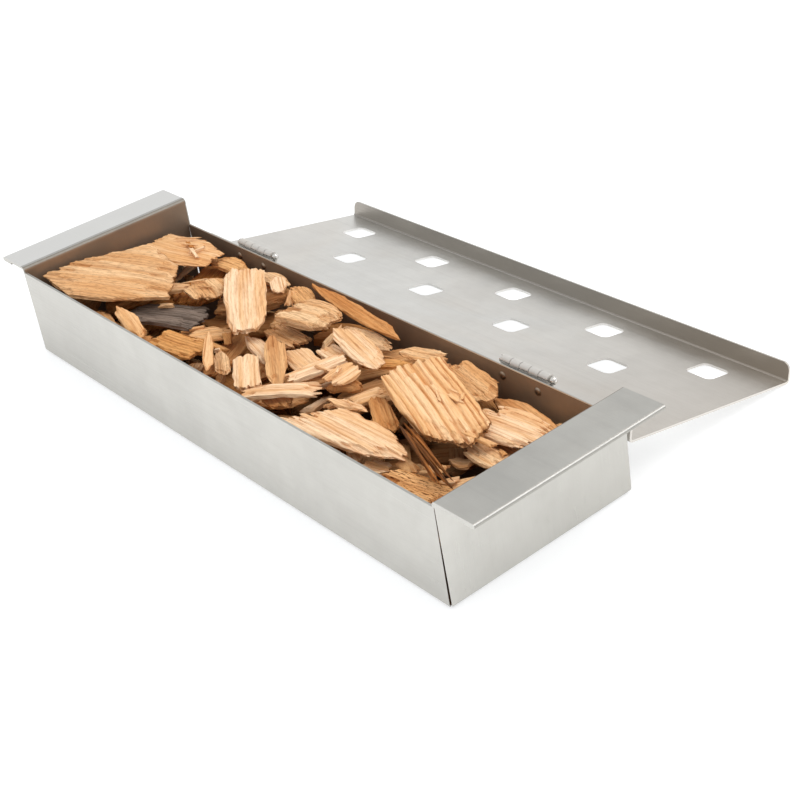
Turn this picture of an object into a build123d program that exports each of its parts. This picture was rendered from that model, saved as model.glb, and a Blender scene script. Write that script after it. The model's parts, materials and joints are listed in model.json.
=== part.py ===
from build123d import *
import math
import os
import random

import numpy as np

# A long stainless smoker box for a grill: a folded tray with two handle flanges, a perforated
# lid on two small pin hinges, and the wood chips that fill the tray.
# X runs along the tray, +Y to the hinge side, +Z up. The origin is the centre of the tray's
# underside. The lid is drawn closed and then swung open until its far fold touches the ground.

# Sheet
sheet = 1.0
outer_bend = 1.8
inner_bend = outer_bend - sheet
cut_overrun = 5.0

# Tray
tray_length = 292.0
tray_width = 89.0
front_wall_height = 42.0
back_wall_drop = 11.0
end_wall_rise = 2.5
end_wall_lean = 1.0
handle_reach = 19.0
handle_hem_length = 7.0
slit_width_at_base = 0.8
slit_width_at_rim = 0.2

# Lid
lid_rest_gap = 0.2
lid_end_play = 7.0
lid_shift_share = 0.4
lid_front_clearance = 1.2
lid_back_clearance = 0.3
flange_foot_rise = 3.6
flange_corner_radius = 3.5
vent_side = 13.4
vent_corner_radius = 3.0
vent_end_margin = 26.5
vent_row_margin = 18.25
outer_row_vents = 5
middle_row_vents = 4

# Hinges
hinge_inset = 55.0
hinge_length = 26.0
axis_drop = 0.2
leaf_thickness = 0.8
pin_radius = 1.15
pin_clearance = 0.05
pin_head_radius = 1.65
pin_tail_length = 0.8
pin_end_play = 0.15
knuckle_count = 5
knuckle_gap = 0.3
curl_end_gap = 0.5
tray_leaf_height = 18.0
leaf_step_height = 1.2
leaf_corner_radius = 1.5

# Rivets
rivet_edge_distance = 3.25
rivet_step_clearance = 0.5
rivet_radius = 1.2
rivet_hole_clearance = 0.05
rivet_head_radius = 1.75
rivet_head_height = 0.8
rivet_tail_radius = 1.5
rivet_tail_height = 0.4

# Wood chips
chip_length = 60.0
chip_width = 25.0
chip_thickness = 6.0
chip_clearance = 0.3
chip_drift = 3.0
level_slack = 0.6
heap_cell = 0.4
heap_lid_clearance = 1.0

# Derived sizes
half_length = tray_length / 2
half_width = tray_width / 2
back_wall_height = front_wall_height - back_wall_drop
end_wall_height = front_wall_height + end_wall_rise
lid_underside = front_wall_height + lid_rest_gap
lid_top = lid_underside + sheet
lid_length = tray_length - 2 * (end_wall_lean + sheet) - lid_end_play
lid_shift = lid_shift_share * lid_end_play
lid_front = -(half_width + lid_front_clearance + sheet)
lid_back = half_width + lid_back_clearance + sheet
lid_centre_y = (lid_back + lid_front) / 2
flange_foot = back_wall_height + flange_foot_rise
vent_pitch = (lid_length - 2 * vent_end_margin) / (outer_row_vents - 1)
vent_row_spacing = (lid_back - lid_front) / 2 - vent_row_margin
knuckle_bore_radius = pin_radius + pin_clearance
knuckle_radius = knuckle_bore_radius + leaf_thickness
axis_y = lid_back + knuckle_radius
axis_z = back_wall_height - axis_drop
hinge_centre = half_length - hinge_inset
hinge_places = {"left": -hinge_centre, "right": hinge_centre}
leaf_knee = axis_z - knuckle_radius + leaf_thickness - leaf_step_height
lid_leaf_top = lid_top - outer_bend
rivet_pitch = hinge_length - 2 * rivet_edge_distance
rivet_hole_radius = rivet_radius + rivet_hole_clearance
tray_rivet_z = leaf_knee - rivet_tail_radius - rivet_step_clearance
lid_rivet_z = (flange_foot + lid_leaf_top) / 2
heap_ceiling = lid_underside - heap_lid_clearance


def open_angle():
    """Degrees from closed to the pose where the lid's far fold rests on the ground."""
    arm = axis_y - lid_front - outer_bend
    rise = lid_top - outer_bend - axis_z
    drop = axis_z - outer_bend
    tilt = math.asin(drop / math.hypot(arm, rise)) - math.atan2(rise, arm)
    return 180 + math.degrees(tilt)


def profile(plane, points):
    return plane * make_face(Polyline(*points, close=True))


def along_x(face, length):
    return extrude(face, length / 2, both=True)


def end_profile(inset):
    """Tray seen from the front, with leaning ends, inset by a wall thickness."""
    foot = half_length - inset
    head = foot - end_wall_lean
    points = [(-foot, inset), (foot, inset), (head, end_wall_height), (-head, end_wall_height)]
    return profile(Plane.XZ, points)


def tray_envelope(inset, bend):
    """Space inside the bent sheet's outer or inner faces, with its two rounded bottom bends."""
    long_form = extrude(end_profile(inset), half_width - inset, both=True)
    long_form = fillet(long_form.edges().filter_by(Axis.Y).group_by(Axis.Z)[0], bend)
    side = half_width - inset
    points = [(-side, inset), (side, inset), (side, end_wall_height), (-side, end_wall_height)]
    cross_form = along_x(profile(Plane.YZ, points), tray_length)
    cross_form = fillet(cross_form.edges().filter_by(Axis.X).group_by(Axis.Z)[0], bend)
    return long_form & cross_form


def handle(side):
    """Flange turned out from the top of one end wall, its free edge folded flat under itself."""
    start = half_length - end_wall_lean - sheet / 2
    hem_centre = half_length + handle_reach - sheet
    top = end_wall_height
    web = Rectangle(hem_centre - start, sheet, align=(Align.MIN, Align.MAX))
    web = Pos(start, top) * web
    hem = Pos(hem_centre, top - sheet) * Circle(sheet)
    fold = Rectangle(handle_hem_length, sheet, align=(Align.MAX, Align.MAX))
    fold = Pos(hem_centre, top - sheet) * fold
    face = Plane.XZ * (web + hem + fold)
    if side < 0:
        face = mirror(face, Plane.YZ)
    return extrude(face, half_width, both=True)


def fold_rounds(body):
    """Bend radii where the end walls turn out into the handles: outside of the bend, then inside."""
    inner_x = half_length - end_wall_lean - sheet
    for height, x, radius in (
        (end_wall_height, inner_x, outer_bend),
        (end_wall_height - sheet, inner_x + sheet, inner_bend),
    ):
        near = sheet / 4
        level = body.edges().filter_by(Axis.Y).filter_by_position(Axis.Z, height - near, height + near)
        body = fillet([edge for edge in level if abs(abs(edge.center().X) - x) < 2 * near], radius)
    return body


def corner_slit(side_x, side_y, height):
    """Thin wedge of air where two walls meet at an open corner, closing towards the rim."""
    plane = Plane(
        origin=(side_x * half_length, side_y * half_width, 0),
        x_dir=(-side_y, side_x, 0),
        z_dir=(side_x, side_y, 0),
    )
    shift = side_x * side_y * end_wall_lean * height / end_wall_height * math.cos(math.pi / 4)
    foot = slit_width_at_base / 2
    head = slit_width_at_rim / 2
    points = [(-foot, -cut_overrun), (foot, -cut_overrun), (foot, 0), (shift + head, height)]
    points += [(shift - head, height), (-foot, 0)]
    return extrude(profile(plane, points), math.hypot(outer_bend, outer_bend), both=True)


def rivet_holes(height, from_y, to_y):
    """Holes through everything between two Y places, for the rivets of both hinges."""
    holes = []
    for place in hinge_places.values():
        for side in (-1, 1):
            centre = Pos(place + side * rivet_pitch / 2, (from_y + to_y) / 2, height)
            holes.append(centre * Rot(90, 0, 0) * Cylinder(rivet_hole_radius, to_y - from_y))
    return holes


def tray():
    body = tray_envelope(0, outer_bend) - tray_envelope(sheet, inner_bend)
    hollow = extrude(end_profile(sheet), half_width + cut_overrun, both=True)
    depth = sheet + cut_overrun
    for side, height in ((-1, front_wall_height), (1, back_wall_height)):
        above = Box(tray_length, depth, end_wall_height, align=(Align.CENTER, Align.CENTER, Align.MIN))
        above = Pos(0, side * (half_width - sheet + depth / 2), height) * above
        body -= hollow & above
    for side in (-1, 1):
        body += handle(side)
    body = fold_rounds(body)
    for side_x in (-1, 1):
        body -= corner_slit(side_x, -1, front_wall_height)
        body -= corner_slit(side_x, 1, back_wall_height)
    body -= rivet_holes(tray_rivet_z, half_width - cut_overrun, half_width + cut_overrun)
    return body


def strip(points, thickness):
    """Outline of a bent strip: the points run along one face, the other lies to their right."""
    normals = []
    for (ax, ay), (bx, by) in zip(points, points[1:]):
        run = math.hypot(bx - ax, by - ay)
        normals.append(((by - ay) / run, (ax - bx) / run))
    back = []
    for index, (x, y) in enumerate(points):
        first = normals[max(index - 1, 0)]
        second = normals[min(index, len(normals) - 1)]
        spread = 1 + first[0] * second[0] + first[1] * second[1]
        step = thickness / spread
        back.append((x + step * (first[0] + second[0]), y + step * (first[1] + second[1])))
    return points + back[::-1]


def curl(up):
    """Cross-section of a knuckle: a ring open by a small gap where its end meets the leaf."""
    reach = knuckle_radius * 2
    gap_angle = curl_end_gap / (knuckle_radius - leaf_thickness / 2)
    side = 1 if up else -1
    tip = (-reach * math.cos(gap_angle), -side * reach * math.sin(gap_angle))
    wedge = make_face(Polyline((0, 0), (-reach, 0), tip, close=True))
    ring = Circle(knuckle_radius) - Circle(knuckle_bore_radius) - wedge
    return Plane.YZ * Pos(axis_y, axis_z) * ring


def knuckle_spans(own_first):
    """X ranges of every second knuckle of a hinge, measured from the hinge's centre."""
    width = hinge_length / knuckle_count
    spans = []
    for index in range(knuckle_count):
        if (index % 2 == 0) == own_first:
            low = -hinge_length / 2 + index * width
            spans.append((low + knuckle_gap / 2, low + width - knuckle_gap / 2))
    return spans


def hinge_leaf(face_points, up, own_first):
    """Leaf with its knuckles: plate, notches round the other leaf's knuckles, and curls."""
    plate = along_x(profile(Plane.YZ, strip(face_points, leaf_thickness)), hinge_length - knuckle_gap)
    corners = plate.edges().filter_by(Axis.Y).group_by(Axis.Z)
    plate = fillet(corners[-1 if up else 0], leaf_corner_radius)
    notch_height = 2 * (knuckle_radius + knuckle_gap)
    for low, high in knuckle_spans(not own_first):
        notch = Box(high - low + 2 * knuckle_gap, cut_overrun, notch_height)
        plate -= Pos((low + high) / 2, lid_back, axis_z) * notch
    for low, high in knuckle_spans(own_first):
        plate += Pos((low + high) / 2, 0, 0) * along_x(curl(up), high - low)
    return plate


def tray_leaf():
    """Lies on the back wall's outer face and steps out to the knuckles just under the axis."""
    foot = back_wall_height - tray_leaf_height
    step_top = leaf_knee + leaf_step_height
    points = [(half_width, foot), (half_width, leaf_knee), (lid_back, step_top), (lid_back, axis_z)]
    return hinge_leaf(points, False, True) - leaf_rivet_holes(tray_rivet_z)


def lid_leaf():
    """Lies on the outer face of the lid's back flange, with the lid closed."""
    points = [(lid_back, axis_z), (lid_back, lid_leaf_top)]
    return hinge_leaf(points, True, False) - leaf_rivet_holes(lid_rivet_z)


def leaf_rivet_holes(height):
    holes = []
    for side in (-1, 1):
        centre = Pos(side * rivet_pitch / 2, lid_back, height)
        holes.append(centre * Rot(90, 0, 0) * Cylinder(rivet_hole_radius, cut_overrun * 2))
    return holes


def hinge_pin():
    """Pin with a ball head at its +X end and a flattened tail at the other."""
    half = hinge_length / 2 + pin_end_play
    shank = Rot(0, 90, 0) * Cylinder(pin_radius, 2 * half)
    head_centre = half + math.sqrt(pin_head_radius**2 - pin_radius**2)
    ball = Pos(head_centre, 0, 0) * Sphere(pin_head_radius)
    tail = Rot(0, 90, 0) * Cylinder(pin_head_radius, pin_tail_length)
    tail = Pos(-half - pin_tail_length / 2, 0, 0) * tail
    neck = Pos((half + head_centre) / 2, 0, 0) * Rot(0, 90, 0) * Cylinder(pin_radius, head_centre - half)
    return Pos(0, axis_y, axis_z) * (shank + neck + ball + tail)


def rivet(grip):
    """Domed head on one side of the grip and a flat tail on the other, along +Z from the head."""
    rise = rivet_head_height
    dome = ThreePointArc(
        (0, -rise),
        (rivet_head_radius * math.sin(math.pi / 4), -rise * math.cos(math.pi / 4)),
        (rivet_head_radius, 0),
    )
    sides = Polyline(
        (rivet_head_radius, 0),
        (rivet_radius, 0),
        (rivet_radius, grip),
        (rivet_tail_radius, grip),
        (rivet_tail_radius, grip + rivet_tail_height),
        (0, grip + rivet_tail_height),
        (0, -rise),
    )
    return revolve(Plane.XZ * make_face([dome, sides]), Axis.Z)


def rivets(inner_y, height):
    """Four rivets with their heads on an inner face, through the sheet and the leaf behind it."""
    made = []
    for place in hinge_places.values():
        for side in (-1, 1):
            where = Pos(place + side * rivet_pitch / 2, inner_y, height)
            made.append(where * Rot(-90, 0, 0) * rivet(sheet + leaf_thickness))
    return made


def vents():
    """Square vents in three staggered rows: outer, middle, outer."""
    shape = RectangleRounded(vent_side, vent_side, vent_corner_radius)
    cutter = extrude(shape, sheet + cut_overrun, both=True)
    cuts = []
    for row, count in ((-1, outer_row_vents), (0, middle_row_vents), (1, outer_row_vents)):
        for index in range(count):
            x = lid_shift + (index - (count - 1) / 2) * vent_pitch
            cuts.append(Pos(x, lid_centre_y + row * vent_row_spacing, lid_underside) * cutter)
    return cuts


def lid():
    """Closed lid: a channel with its two flanges down, open at both ends."""
    points = [(lid_front, flange_foot), (lid_back, flange_foot), (lid_back, lid_top), (lid_front, lid_top)]
    body = along_x(profile(Plane.YZ, points), lid_length)
    body = fillet(body.edges().filter_by(Axis.X).group_by(Axis.Z)[-1], outer_bend)
    inner_front = lid_front + sheet
    inner_back = lid_back - sheet
    low = flange_foot - cut_overrun
    points = [(inner_front, low), (inner_back, low)]
    points += [(inner_back, lid_underside), (inner_front, lid_underside)]
    hollow = along_x(profile(Plane.YZ, points), lid_length + cut_overrun)
    hollow = fillet(hollow.edges().filter_by(Axis.X).group_by(Axis.Z)[-1], inner_bend)
    body -= hollow
    corners = body.edges().filter_by(Axis.Y).group_by(Axis.Z)[0]
    body = fillet(corners, min(flange_corner_radius, lid_underside - flange_foot))
    body = Pos(lid_shift, 0, 0) * body
    body -= vents()
    body -= rivet_holes(lid_rivet_z, lid_back - cut_overrun, lid_back + cut_overrun)
    return body


def opened(shape):
    """Swings a piece of the closed lid to the open rest pose."""
    return shape.rotate(Axis((0, axis_y, axis_z), (1, 0, 0)), -open_angle())


def write(shape, name):
    solids = shape if isinstance(shape, list) else shape.solids()
    model = solids[0] if len(solids) == 1 else Compound(children=list(solids))
    export_step(model, f"parts/{name}.step")


# Outlines of the wood chips: shares of half the length and half the width, in order round a chip.
broad_shares = [(-1, -0.55), (-0.72, -1), (0.55, -0.92), (0.93, -0.6), (1, 0.35), (0.62, 0.95), (-0.8, 1)]
slab_shares = [(-1, -0.3), (-0.6, -1), (0.7, -1), (1, -0.25), (0.9, 0.7), (0.3, 1), (-0.75, 0.85)]
blunt_shares = [(-0.95, -0.9), (0.9, -1), (1, 0.5), (0.8, 1), (-0.9, 0.95), (-1, 0.1)]
tapered_shares = [(-1, -0.2), (-0.5, -0.9), (0.6, -1), (1, -0.45), (0.95, 0.3), (0.4, 0.9), (-0.6, 1)]
sliver_shares = [(-1, 0), (-0.6, -0.8), (0.5, -1), (1, -0.2), (0.7, 0.8), (-0.4, 1)]
oblique_shares = [(-1, -0.3), (-0.85, -0.9), (-0.1, -1), (0.58, -0.86), (1, 0.1), (0.7, 0.95), (-0.92, 1)]
wedge_shares = [(-1, -0.75), (-0.45, -1), (0.52, -0.66), (1, -0.16), (0.96, 0.16), (0.54, 0.78), (-0.42, 1)]
end_slab_shares = [(-1, -0.5), (-0.3, -1), (0.3, -0.97), (1, -0.63), (0.64, 0.43), (-0.05, 1), (-0.79, 0.12)]
back_slab_shares = [(-1, -1), (0.05, -0.97), (0.95, -0.51), (1, 0.41), (0.19, 1), (-0.73, 0.92)]
outline_shares = [broad_shares, slab_shares, blunt_shares, tapered_shares, sliver_shares]

# The chips that show, from the lowest up. Each row gives the node, the length, width and thickness
# as shares of the usual chip's, the outline, the place as shares of the tray's half length and
# half width, and the level of the upper face as a share of the front wall's height. Then come
# the turn, the pitch along the grain and the roll across it, in degrees.
shown_chip_shares = [
    ("small_splinters", (0.22, 0.24, 0.60), blunt_shares, (0.730, -0.080), 0.62, (-40, 4, 0)),
    ("small_splinters", (0.20, 0.24, 0.60), sliver_shares, (0.790, -0.170), 0.68, (38, 0, 0)),
    ("orange_flat_chip", (0.86, 0.48, 0.67), tapered_shares, (0.785, 0.610), 0.70, (-11, -2, 2)),
    ("middle_chips", (0.40, 0.44, 0.67), blunt_shares, (-0.100, 0.200), 0.71, (0, 0, -3)),
    ("middle_chips", (0.26, 0.32, 0.50), blunt_shares, (0.875, -0.330), 0.73, (61, 0, 0)),
    ("bark_piece", (0.67, 0.72, 0.67), blunt_shares, (-0.505, -0.320), 0.74, (27, 0, 0)),
    ("middle_chips", (0.58, 0.36, 0.50), sliver_shares, (0.128, 0.600), 0.74, (0, 0, 4)),
    ("middle_chips", (0.48, 0.44, 0.67), tapered_shares, (-0.640, 0.750), 0.73, (7, 0, 0)),
    ("middle_chips", (0.40, 0.36, 0.50), tapered_shares, (-0.430, 0.800), 0.72, (4, 0, 0)),
    ("small_splinters", (0.22, 0.34, 0.67), blunt_shares, (0.115, 0.220), 0.75, (0, 0, 0)),
    ("middle_chips", (0.36, 0.40, 0.50), slab_shares, (0.345, 0.690), 0.76, (17, 0, 0)),
    ("small_splinters", (0.40, 0.20, 0.50), sliver_shares, (-0.420, 0.560), 0.76, (-21, 4, 0)),
    ("small_splinters", (0.18, 0.20, 0.50), blunt_shares, (0.700, 0.390), 0.74, (-3, 0, 0)),
    ("back_flat_chip", (0.63, 0.72, 0.67), broad_shares, (0.535, 0.640), 0.77, (-14, -2, 5)),
    ("middle_chips", (0.42, 0.26, 0.50), sliver_shares, (0.285, 0.395), 0.77, (35, 0, 0)),
    ("small_splinters", (0.22, 0.34, 0.60), tapered_shares, (0.662, -0.700), 0.77, (17, 0, 0)),
    ("small_splinters", (0.22, 0.20, 0.60), sliver_shares, (0.580, -0.730), 0.77, (-24, 0, 0)),
    ("middle_chips", (0.42, 0.50, 0.50), tapered_shares, (-0.305, -0.250), 0.75, (60, 0, 0)),
    ("middle_chips", (0.44, 0.40, 0.67), tapered_shares, (-0.240, 0.730), 0.78, (-14, 0, 5)),
    ("small_splinters", (0.42, 0.22, 0.50), sliver_shares, (0.420, -0.410), 0.78, (7, 0, 0)),
    ("middle_chips", (0.34, 0.38, 0.50), blunt_shares, (0.850, -0.070), 0.77, (-2, 0, 0)),
    ("middle_chips", (0.42, 0.28, 0.50), sliver_shares, (-0.085, -0.560), 0.79, (-27, 0, 0)),
    ("small_splinters", (0.30, 0.30, 0.50), tapered_shares, (-0.315, 0.700), 0.80, (-25, 0, 0)),
    ("tucked_chip", (0.43, 0.34, 0.67), blunt_shares, (0.490, -0.190), 0.80, (-28, 0, 0)),
    ("upper_chips", (0.26, 0.34, 0.50), blunt_shares, (0.378, -0.068), 0.80, (73, 0, 0)),
    ("small_splinters", (0.18, 0.20, 0.60), blunt_shares, (0.726, -0.590), 0.80, (-10, 0, 0)),
    ("small_splinters", (0.17, 0.20, 0.50), blunt_shares, (0.785, -0.480), 0.80, (39, 0, 0)),
    ("small_splinters", (0.22, 0.20, 0.50), sliver_shares, (0.535, -0.810), 0.78, (-9, 0, 0)),
    ("upper_chips", (0.44, 0.52, 0.50), tapered_shares, (0.080, 0.020), 0.77, (-6, 0, 3)),
    ("back_strip_chip", (1.20, 0.30, 0.50), sliver_shares, (0.015, 0.755), 0.82, (-4, 0, 2)),
    ("upper_chips", (0.84, 1.15, 0.50), back_slab_shares, (-0.822, 0.500), 0.79, (14, 0, 0)),
    ("middle_chips", (0.38, 0.76, 0.50), slab_shares, (-0.510, 0.170), 0.79, (-10, 0, 0)),
    ("jagged_chip", (0.55, 0.84, 0.50), broad_shares, (0.815, 0.285), 0.80, (7, 0, 0)),
    ("cube_end_chip", (0.50, 0.56, 0.83), blunt_shares, (-0.266, -0.650), 0.83, (12, 0, 0)),
    ("upper_chips", (0.46, 0.46, 0.67), blunt_shares, (0.030, -0.550), 0.82, (-32, 0, 0)),
    ("standing_chip", (0.76, 0.36, 0.67), tapered_shares, (0.052, -0.260), 0.84, (-31, 0, 0)),
    ("curved_edge_chip", (1.08, 0.76, 0.67), broad_shares, (-0.300, 0.255), 0.86, (-31, 0, 3)),
    ("rounded_chip", (0.78, 0.50, 0.50), tapered_shares, (0.198, 0.335), 0.86, (-13, -2, 3)),
    ("upper_chips", (0.66, 0.32, 0.67), sliver_shares, (-0.505, -0.720), 0.86, (-13, 0, 0)),
    ("small_splinters", (0.36, 0.22, 0.50), sliver_shares, (0.402, -0.340), 0.85, (12, 0, 0)),
    ("short_grain_chip", (0.53, 0.50, 1.00), slab_shares, (0.835, -0.765), 0.87, (10, 0, 0)),
    ("upper_chips", (0.28, 0.46, 0.50), slab_shares, (0.290, -0.090), 0.88, (98, 0, 0)),
    ("left_flat_chip", (1.06, 0.80, 0.67), wedge_shares, (0.530, -0.647), 0.90, (5, -1, 2)),
    ("upper_chips", (0.44, 0.30, 0.67), blunt_shares, (0.218, -0.195), 0.90, (77, 0, 0)),
    ("bright_block_chip", (0.48, 0.80, 1.00), broad_shares, (-0.060, 0.430), 0.90, (13, 2, -3)),
    ("long_front_stick", (0.57, 0.32, 0.67), blunt_shares, (0.245, -0.575), 0.91, (44, 0, -2)),
    ("long_slab_chip", (1.18, 2.03, 0.67), end_slab_shares, (-0.782, -0.240), 0.93, (25, 2, 0)),
    ("small_splinters", (0.60, 0.20, 0.50), sliver_shares, (-0.110, -0.630), 0.92, (-35, 0, 0)),
    ("upper_chips", (0.34, 0.16, 0.50), sliver_shares, (0.150, -0.845), 0.93, (-11, 0, 0)),
    ("dark_splinter", (0.84, 0.24, 0.50), sliver_shares, (0.787, -0.510), 0.94, (-17, 0, 0)),
    ("ridged_chip", (1.08, 1.04, 0.83), oblique_shares, (0.620, 0.066), 0.95, (-21, 0, 0)),
]

# Loose fill under and between them, laid first: the most chips, the ranges of length, width and
# thickness as shares of the usual chip's, the largest tilt in degrees, and how high the fill may
# reach as shares of the front wall's height, at the front and along the hinge side.
fill_shares = [
    ("bottom_chips", 28, (0.70, 1.00), (0.80, 1.20), (1.25, 1.60), 3, (0.50, 0.45)),
    ("lower_chips", 44, (0.45, 0.80), (0.50, 0.85), (0.90, 1.30), 8, (0.74, 0.58)),
    ("middle_chips", 20, (0.36, 0.60), (0.34, 0.56), (0.60, 0.95), 14, (0.84, 0.68)),
    ("upper_chips", 16, (0.30, 0.50), (0.26, 0.44), (0.55, 0.80), 18, (0.90, 0.72)),
    ("small_splinters", 24, (0.22, 0.42), (0.15, 0.26), (0.45, 0.62), 22, (0.93, 0.76)),
]
# Flat chips that hold up a chip which would lie under its level, from the same shares.
prop_shares = ("lower_chips", 6, (0.20, 0.36), (0.24, 0.46), (0.35, 1.50))
tries_per_chip = 80
tilt_spread_degrees = 4
seed = 7
level_direction_share = 0.001


class Heap:
    """Height of the heap over a fine grid of the tray's floor, and the room left for the fill."""

    def __init__(self):
        margin = inner_bend + chip_clearance
        self.half_x = half_length - end_wall_lean - sheet - margin
        self.back = half_width - sheet - rivet_head_height - margin
        self.front = -(half_width - sheet - margin)
        self.xs = np.arange(-self.half_x, self.half_x, heap_cell)
        self.ys = np.arange(self.front, self.back, heap_cell)
        self.height = np.full((len(self.xs), len(self.ys)), sheet)
        self.room = np.full((len(self.xs), len(self.ys)), heap_ceiling)

    def spot(self, planes, corners):
        """The cells that a chip covers and its two faces there, or None outside the walls."""
        low = corners.min(axis=0)
        high = corners.max(axis=0)
        if low[0] < -self.half_x or high[0] > self.half_x or low[1] < self.front or high[1] > self.back:
            return None
        margin = chip_clearance * 2
        in_x = np.flatnonzero((self.xs > low[0] - margin) & (self.xs < high[0] + margin))
        in_y = np.flatnonzero((self.ys > low[1] - margin) & (self.ys < high[1] + margin))
        grid_x, grid_y = np.meshgrid(self.xs[in_x], self.ys[in_y], indexing="ij")
        top = np.full(grid_x.shape, np.inf)
        bottom = np.full(grid_x.shape, -np.inf)
        for (nx, ny, nz), distance in planes:
            rest = distance + chip_clearance - nx * grid_x - ny * grid_y
            if nz > level_direction_share:
                top = np.minimum(top, rest / nz)
            elif nz < -level_direction_share:
                bottom = np.maximum(bottom, rest / nz)
            else:
                top = np.where(rest < 0, -np.inf, top)
        inside = top > bottom
        rows, columns = np.nonzero(inside)
        return (in_x[rows], in_y[columns]), top[inside], bottom[inside]

    def rise(self, spot):
        """How far up a chip must lie to clear what is under it."""
        cells, _, bottom = spot
        return float(np.max(self.height[cells] - bottom))

    def gap(self, spot, rise):
        """How much room is left over a chip."""
        cells, top, _ = spot
        return float(np.min(self.room[cells] - top)) - rise

    def lay(self, spot, rise):
        cells, top, _ = spot
        self.height[cells] = np.maximum(self.height[cells], top + rise)

    def reserve(self, spot, rise):
        """Keeps the fill under a chip that will lie here."""
        cells, _, bottom = spot
        self.room[cells] = np.minimum(self.room[cells], bottom + rise)


def chip_turn(turn, pitch, roll):
    """Axes of a chip as columns: along the grain, across it, and through the thickness."""
    t, p, r = (math.radians(angle) for angle in (turn, pitch, roll))
    about_z = np.array([[math.cos(t), -math.sin(t), 0], [math.sin(t), math.cos(t), 0], [0, 0, 1]])
    about_y = np.array([[math.cos(p), 0, math.sin(p)], [0, 1, 0], [-math.sin(p), 0, math.cos(p)]])
    about_x = np.array([[1, 0, 0], [0, math.cos(r), -math.sin(r)], [0, math.sin(r), math.cos(r)]])
    return about_z @ about_y @ about_x


def chip_outline(size, shares):
    return [(u * size[0] / 2, v * size[1] / 2) for u, v in shares]


def chip_faces(size, shares, turn, place):
    """Face planes and corners of a chip whose outline is convex, in the tray's axes."""
    outline = chip_outline(size, shares)
    centre = np.array([place[0], place[1], 0.0])
    half = size[2] / 2
    corners = np.array([(u, v, side * half) for side in (-1, 1) for u, v in outline]) @ turn.T + centre
    faces = [((0, 0, 1), half), ((0, 0, -1), half)]
    for (ax, ay), (bx, by) in zip(outline, outline[1:] + outline[:1]):
        run = math.hypot(bx - ax, by - ay)
        normal = ((by - ay) / run, (ax - bx) / run, 0)
        faces.append((normal, normal[0] * ax + normal[1] * ay))
    planes = []
    for normal, distance in faces:
        world = turn @ np.array(normal, dtype=float)
        planes.append((world, distance + float(world @ centre)))
    return planes, corners


class Resting:
    """A chip let down on to the heap at one place and turn."""

    def __init__(self, heap, size, shares, place, angles):
        self.size = size
        self.shares = shares
        self.place = place
        self.turn = chip_turn(*angles)
        planes, corners = chip_faces(size, shares, self.turn, place)
        self.spot = heap.spot(planes, corners)
        self.reach = float(corners[:, 2].max())
        self.rise = math.inf
        if self.spot is not None:
            self.rise = heap.rise(self.spot)

    def top(self):
        return self.rise + self.reach

    def face_over_middle(self):
        return self.size[2] / 2 * float(self.turn[2, 2])

    def lay(self, heap):
        """Adds the chip to the heap and gives its solid."""
        heap.lay(self.spot, self.rise)
        where = Plane(
            origin=(self.place[0], self.place[1], self.rise),
            x_dir=tuple(self.turn[:, 0]),
            z_dir=tuple(self.turn[:, 2]),
        )
        face = profile(where, chip_outline(self.size, self.shares))
        return extrude(face, self.size[2] / 2, both=True).solids()[0]


def chance_size(ranges, chance):
    lengths, widths, thicknesses = ranges
    return (
        chance.uniform(*lengths) * chip_length,
        chance.uniform(*widths) * chip_width,
        chance.uniform(*thicknesses) * chip_thickness,
    )


def fill_limit(place, level_shares):
    """Highest the fill may reach at a place: it falls towards the hinge side, except at the left."""
    front, back = level_shares
    across = min(max(place[1] / half_width, 0), 1)
    along = min(max(-2 * place[0] / half_length, 0), 1)
    return (front + (back - front) * across * (1 - along)) * front_wall_height


def fill_chips(heap, layer_shares, chance):
    """Lays a layer of loose chips, each at the lowest of several places tried for it."""
    _, count, lengths, widths, thicknesses, tilt, level_shares = layer_shares
    made = []
    for _ in range(count):
        size = chance_size((lengths, widths, thicknesses), chance)
        shares = chance.choice(outline_shares)
        best = None
        for _ in range(tries_per_chip):
            place = (chance.uniform(-1, 1) * heap.half_x, chance.uniform(heap.front, heap.back))
            angles = (chance.uniform(-90, 90), chance.uniform(-tilt, tilt), chance.uniform(-tilt, tilt))
            chip = Resting(heap, size, shares, place, angles)
            if chip.top() > fill_limit(place, level_shares) or heap.gap(chip.spot, chip.rise) < 0:
                continue
            if best is None or chip.top() < best.top():
                best = chip
        if best is not None:
            made.append(best.lay(heap))
    return made


def settle(heap, size, shares, place, angles, level, chance):
    """Lets a chip down at its place, or near it where that lets it lie at its level. Where it
    would reach the lid, it drifts further and lies flatter."""
    best = None
    widen = 1.0
    while best is None or (best.top() > heap_ceiling and widen * chip_drift < half_length):
        for attempt in range(tries_per_chip):
            share = attempt / tries_per_chip * widen
            drift = [chance.uniform(-chip_drift, chip_drift) * share for _ in range(2)]
            spread = [chance.uniform(-tilt_spread_degrees, tilt_spread_degrees) * share for _ in range(3)]
            turned = (
                angles[0] + spread[0],
                (angles[1] + spread[1]) / widen,
                (angles[2] + spread[2]) / widen,
            )
            chip = Resting(heap, size, shares, (place[0] + drift[0], place[1] + drift[1]), turned)
            if best is None or chip.top() < best.top():
                best = chip
            at_level = best.rise + best.face_over_middle() < level + level_slack
            if best.top() < heap_ceiling and (at_level or widen > 1):
                break
        widen *= math.sqrt(2)
    return best


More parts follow.
